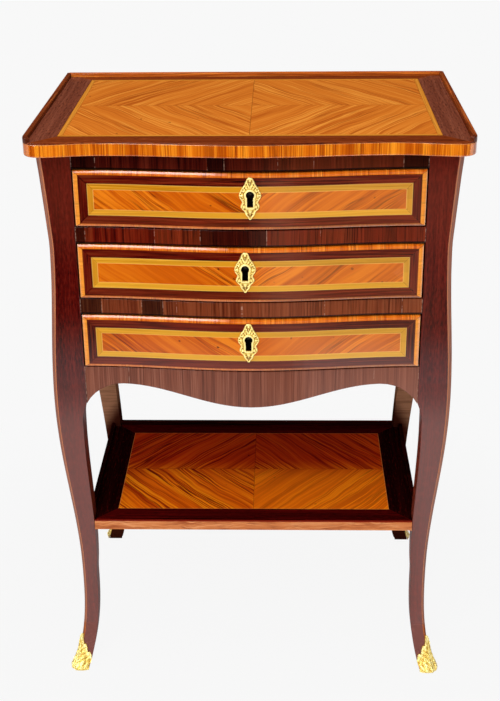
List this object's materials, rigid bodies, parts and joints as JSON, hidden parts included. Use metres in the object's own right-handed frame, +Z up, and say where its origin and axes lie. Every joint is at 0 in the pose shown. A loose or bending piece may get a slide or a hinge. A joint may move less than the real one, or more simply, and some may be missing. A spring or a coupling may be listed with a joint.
{
  "type": "side table",
  "caption": "Small rectangular side table with serpentine drawers over an open shelf, on slender cabriole legs with gilt feet; veneered in tulipwood with dark borders.",
  "frame": {"origin": "on the floor, under the middle of the top", "axes": "+X to the right of someone facing the drawers, +Y towards the back, +Z up; the drawers open along -Y"},
  "size_m": [0.507, 0.352, 0.7255],
  "materials": {
    "tulipwood": "quarter-matched veneer, french polished",
    "amaranth": "dark purple-brown veneer, french polished",
    "boxwood": "pale stringing, french polished",
    "oak": "plain unpolished boards",
    "gilt_bronze": "cast, chased and gilt",
    "lock_iron": "dull iron"
  },
  "bodies": {
    "carcase": {"back_panel": "oak", "front_apron": "amaranth", "leg_back_left": "amaranth", "leg_back_right": "amaranth", "leg_front_left": "amaranth", "leg_front_right": "amaranth", "lower_drawer_rail": "amaranth", "runner_lower_left": "oak", "runner_lower_right": "oak", "runner_middle_left": "oak", "runner_middle_right": "oak", "runner_upper_left": "oak", "runner_upper_right": "oak", "sabot_back_left": "gilt_bronze", "sabot_back_right": "gilt_bronze", "sabot_front_left": "gilt_bronze", "sabot_front_right": "gilt_bronze", "shelf_banding": "amaranth", "shelf_board": "oak", "shelf_field": "tulipwood", "shelf_lip": "tulipwood", "shelf_rim_back": "amaranth", "shelf_rim_left": "amaranth", "shelf_rim_right": "amaranth", "side_panel_left": "amaranth", "side_panel_right": "amaranth", "top_banding": "amaranth", "top_board": "tulipwood", "top_field": "tulipwood", "top_rail": "amaranth", "top_rim_back": "amaranth", "top_rim_left": "amaranth", "top_rim_right": "amaranth", "top_stringing": "boxwood", "upper_drawer_rail": "amaranth"},
    "lower_drawer": {"lower_drawer_front": "tulipwood", "lower_drawer_side_left": "oak", "lower_drawer_side_right": "oak", "lower_drawer_back": "oak", "lower_drawer_base": "oak", "lower_drawer_escutcheon": "gilt_bronze", "lower_drawer_lock": "lock_iron"},
    "lower_bolt": {"lower_drawer_bolt": "lock_iron"},
    "middle_drawer": {"middle_drawer_front": "tulipwood", "middle_drawer_side_left": "oak", "middle_drawer_side_right": "oak", "middle_drawer_back": "oak", "middle_drawer_base": "oak", "middle_drawer_escutcheon": "gilt_bronze", "middle_drawer_lock": "lock_iron"},
    "middle_bolt": {"middle_drawer_bolt": "lock_iron"},
    "upper_drawer": {"upper_drawer_front": "tulipwood", "upper_drawer_side_left": "oak", "upper_drawer_side_right": "oak", "upper_drawer_back": "oak", "upper_drawer_base": "oak", "upper_drawer_escutcheon": "gilt_bronze", "upper_drawer_lock": "lock_iron"},
    "upper_bolt": {"upper_drawer_bolt": "lock_iron"}
  },
  "joints": [
    {"name": "lower_drawer_slide", "type": "slide", "parent": "carcase", "child": "lower_drawer", "axis": [0, -1, 0], "range_m": [0, 0.2]},
    {"name": "lower_bolt_slide", "type": "slide", "parent": "lower_drawer", "child": "lower_bolt", "axis": [0, 0, 1], "range_m": [0, 0.007]},
    {"name": "middle_drawer_slide", "type": "slide", "parent": "carcase", "child": "middle_drawer", "axis": [0, -1, 0], "range_m": [0, 0.2]},
    {"name": "middle_bolt_slide", "type": "slide", "parent": "middle_drawer", "child": "middle_bolt", "axis": [0, 0, 1], "range_m": [0, 0.007]},
    {"name": "upper_drawer_slide", "type": "slide", "parent": "carcase", "child": "upper_drawer", "axis": [0, -1, 0], "range_m": [0, 0.2]},
    {"name": "upper_bolt_slide", "type": "slide", "parent": "upper_drawer", "child": "upper_bolt", "axis": [0, 0, 1], "range_m": [0, 0.007]}
  ]
}
